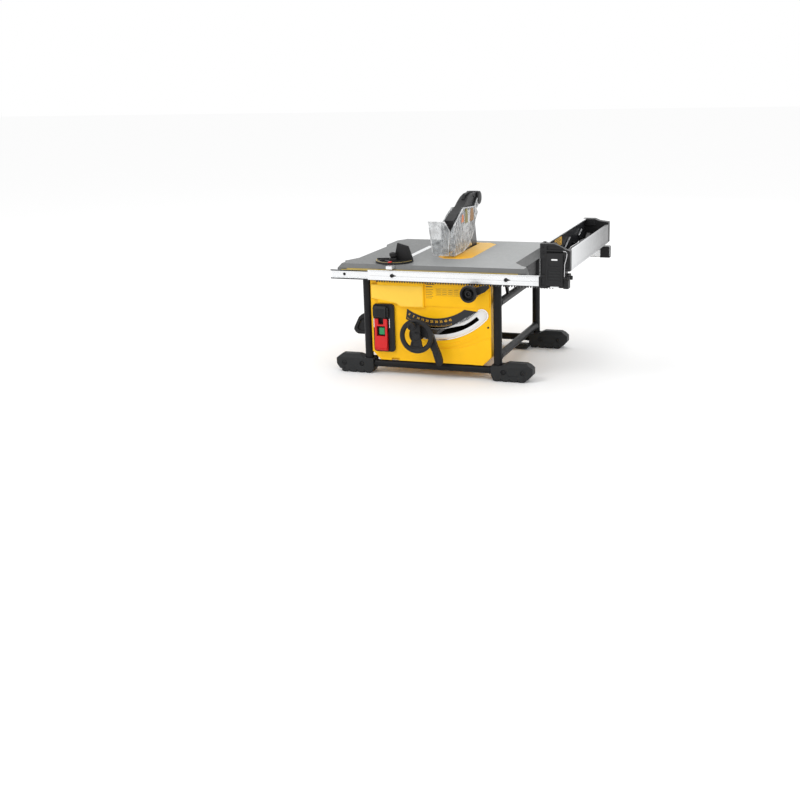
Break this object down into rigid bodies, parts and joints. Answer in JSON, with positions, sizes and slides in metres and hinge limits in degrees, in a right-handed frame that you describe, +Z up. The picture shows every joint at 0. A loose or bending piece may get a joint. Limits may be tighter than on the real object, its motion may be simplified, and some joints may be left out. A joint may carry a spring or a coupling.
{
  "type": "table saw",
  "caption": "Compact jobsite table saw on a tube cage, with tilting and lifting blade, clear guard, rack-driven fence rails, rip fence and mitre gauge.",
  "frame": {"origin": "on the floor, under the middle of the whole saw", "axes": "+X to the operator's right along the fence rails, +Y from the operator to the back of the table, +Z up"},
  "size_m": [0.738, 0.5898, 0.501],
  "materials": {
    "yellow_plastic": "satin",
    "insert_yellow": "satin",
    "black_paint": "satin",
    "black_plastic": "matte",
    "scale_grey": "satin",
    "table_grey": "satin",
    "aluminium": "satin",
    "steel": "brushed",
    "knife_steel": "satin",
    "casting": "cast",
    "red_plastic": "gloss",
    "green_plastic": "gloss",
    "clear_plastic": "clear moulded plastic"
  },
  "bodies": {
    "root": {"front_panel": "yellow_plastic", "body_shell": "yellow_plastic", "throat_plate": "insert_yellow", "left_side_frame": "black_paint", "right_side_frame": "black_paint", "front_cross_tube": "black_paint", "rear_cross_tube": "black_paint", "front_left_foot": "black_plastic", "front_right_foot": "black_plastic", "rear_left_foot": "black_plastic", "rear_right_foot": "black_plastic", "switch_plate": "black_plastic", "switch_cap": "black_plastic", "dust_port": "black_plastic", "cord_gland": "black_plastic", "bevel_scale": "scale_grey", "table_top": "table_grey", "front_fixed_rail": "aluminium", "rear_fixed_rail": "aluminium", "bevel_lock_plate": "steel", "front_trunnion_bracket": "casting", "rear_trunnion_bracket": "casting"},
    "rails": {"front_moving_rail": "aluminium", "rear_moving_rail": "aluminium", "fence_front_head": "black_plastic", "fence_rear_head": "black_plastic", "fence_left_face": "aluminium", "fence_right_face": "aluminium", "push_stick": "black_plastic"},
    "fence_latch": {"fence_latch": "black_plastic"},
    "rail_drive": {"rail_pinion_shaft": "steel", "rail_knob": "black_plastic"},
    "rail_lock": {"rail_lock_lever": "black_plastic"},
    "cradle": {"front_trunnion": "casting", "rear_trunnion": "casting", "cradle_bar": "casting", "front_guide_post": "steel", "rear_guide_post": "steel"},
    "bevel_lock": {"bevel_lock_lever": "black_plastic"},
    "handwheel": {"height_wheel": "black_plastic", "height_shaft": "steel"},
    "crank": {"crank_knob": "black_plastic"},
    "screw": {"elevation_screw": "steel"},
    "lift": {"arbor_carriage": "casting", "motor_housing": "black_plastic", "riving_knife": "knife_steel", "guard_arm": "black_plastic"},
    "arbor": {"arbor_shaft": "steel", "blade": "steel", "arbor_nut": "steel"},
    "rotor": {"motor_rotor": "steel"},
    "guard_pin": {"guard_pin": "black_plastic"},
    "left_guard": {"left_guard": "clear_plastic"},
    "right_guard": {"right_guard": "clear_plastic"},
    "mitre_bar": {"mitre_bar": "aluminium"},
    "mitre_head": {"mitre_head": "black_plastic"},
    "mitre_knob": {"mitre_knob": "black_plastic"},
    "stop_paddle": {"stop_paddle": "red_plastic"},
    "start_button": {"start_button": "green_plastic"},
    "storage_knob": {"storage_knob": "black_plastic"}
  },
  "joints": [
    {"name": "rail_slide", "type": "slide", "parent": "root", "child": "rails", "axis": [1, 0, 0], "range_m": [-0.112, 0.285]},
    {"name": "fence_latch_hinge", "type": "hinge", "parent": "rails", "child": "fence_latch", "pos_m": [0.322, -0.256, 0.384], "axis": [-1, 0, 0], "range_deg": [0, 40]},
    {"name": "rail_knob_turn", "type": "hinge", "parent": "root", "child": "rail_drive", "pos_m": [0.074, 0.024, 0.2653], "axis": [0, 1, 0], "range_deg": [-325, 825]},
    {"name": "rail_lock_hinge", "type": "hinge", "parent": "root", "child": "rail_lock", "pos_m": [0.074, -0.242, 0.2653], "axis": [0, 1, 0], "range_deg": [0, 60]},
    {"name": "bevel_tilt", "type": "hinge", "parent": "root", "child": "cradle", "pos_m": [-0.051, 0.024, 0.332], "axis": [0, -1, 0], "range_deg": [0, 48]},
    {"name": "bevel_lock_hinge", "type": "hinge", "parent": "cradle", "child": "bevel_lock", "pos_m": [-0.08573, -0.244, 0.13504], "axis": [0, -1, 0], "range_deg": [0, 25]},
    {"name": "handwheel_turn", "type": "hinge", "parent": "cradle", "child": "handwheel", "pos_m": [-0.08573, -0.266, 0.13504], "axis": [0, -1, 0], "range_deg": [-2163, 3]},
    {"name": "crank_spin", "type": "hinge", "parent": "handwheel", "child": "crank", "pos_m": [-0.09273, -0.281, 0.16904], "axis": [0, 1, 0], "continuous": true},
    {"name": "screw_turn", "type": "hinge", "parent": "cradle", "child": "screw", "pos_m": [-0.08573, -0.068, 0.2], "axis": [0, 0, 1], "range_deg": [-2165, 5]},
    {"name": "blade_lift", "type": "slide", "parent": "cradle", "child": "lift", "axis": [0, 0, 1], "range_m": [-0.068, 0]},
    {"name": "arbor_spin", "type": "hinge", "parent": "lift", "child": "arbor", "pos_m": [-0.051, 0.069, 0.292], "axis": [1, 0, 0], "continuous": true},
    {"name": "rotor_spin", "type": "hinge", "parent": "lift", "child": "rotor", "pos_m": [-0.151, 0.08678, 0.266], "axis": [1, 0, 0], "continuous": true},
    {"name": "guard_pin_turn", "type": "hinge", "parent": "lift", "child": "guard_pin", "pos_m": [-0.051, 0.192, 0.48], "axis": [-1, 0, 0], "range_deg": [-1, 29]},
    {"name": "left_guard_hinge", "type": "hinge", "parent": "guard_pin", "child": "left_guard", "pos_m": [-0.068, 0.192, 0.48], "axis": [-1, 0, 0], "range_deg": [-0.5, 25]},
    {"name": "right_guard_hinge", "type": "hinge", "parent": "guard_pin", "child": "right_guard", "pos_m": [-0.034, 0.192, 0.48], "axis": [-1, 0, 0], "range_deg": [0, 35]},
    {"name": "mitre_slide", "type": "slide", "parent": "root", "child": "mitre_bar", "axis": [0, 1, 0], "range_m": [-0.18, 0.24]},
    {"name": "mitre_swivel", "type": "hinge", "parent": "mitre_bar", "child": "mitre_head", "pos_m": [-0.176, -0.173, 0.336], "axis": [0, 0, 1], "range_deg": [-60, 60]},
    {"name": "mitre_knob_turn", "type": "hinge", "parent": "mitre_head", "child": "mitre_knob", "pos_m": [-0.187, -0.173, 0.35], "axis": [0, 0, 1], "range_deg": [-180, 180]},
    {"name": "stop_press", "type": "hinge", "parent": "root", "child": "stop_paddle", "pos_m": [-0.211, -0.214, 0.167], "axis": [1, 0, 0], "range_deg": [0, 3], "stiffness_Nm_per_rad": 1.5},
    {"name": "start_press", "type": "slide", "parent": "root", "child": "start_button", "axis": [0, 1, 0], "range_m": [0, 0.0025], "stiffness_N_per_m": 400},
    {"name": "storage_knob_turn", "type": "hinge", "parent": "root", "child": "storage_knob", "pos_m": [-0.286, -0.126, 0.138], "axis": [1, 0, 0], "range_deg": [-90, 90]}
  ],
  "couplings": [
    {"joint": "rail_knob_turn", "follows": "rail_slide", "rad_per_m": 50},
    {"joint": "handwheel_turn", "follows": "blade_lift", "rad_per_m": 554.4},
    {"joint": "screw_turn", "follows": "blade_lift", "rad_per_m": 554.4},
    {"joint": "guard_pin_turn", "follows": "blade_lift", "rad_per_m": -7.1867},
    {"joint": "left_guard_hinge", "follows": "bevel_tilt", "ratio": 0.5},
    {"joint": "rotor_spin", "follows": "arbor_spin", "ratio": -3.2}
  ]
}
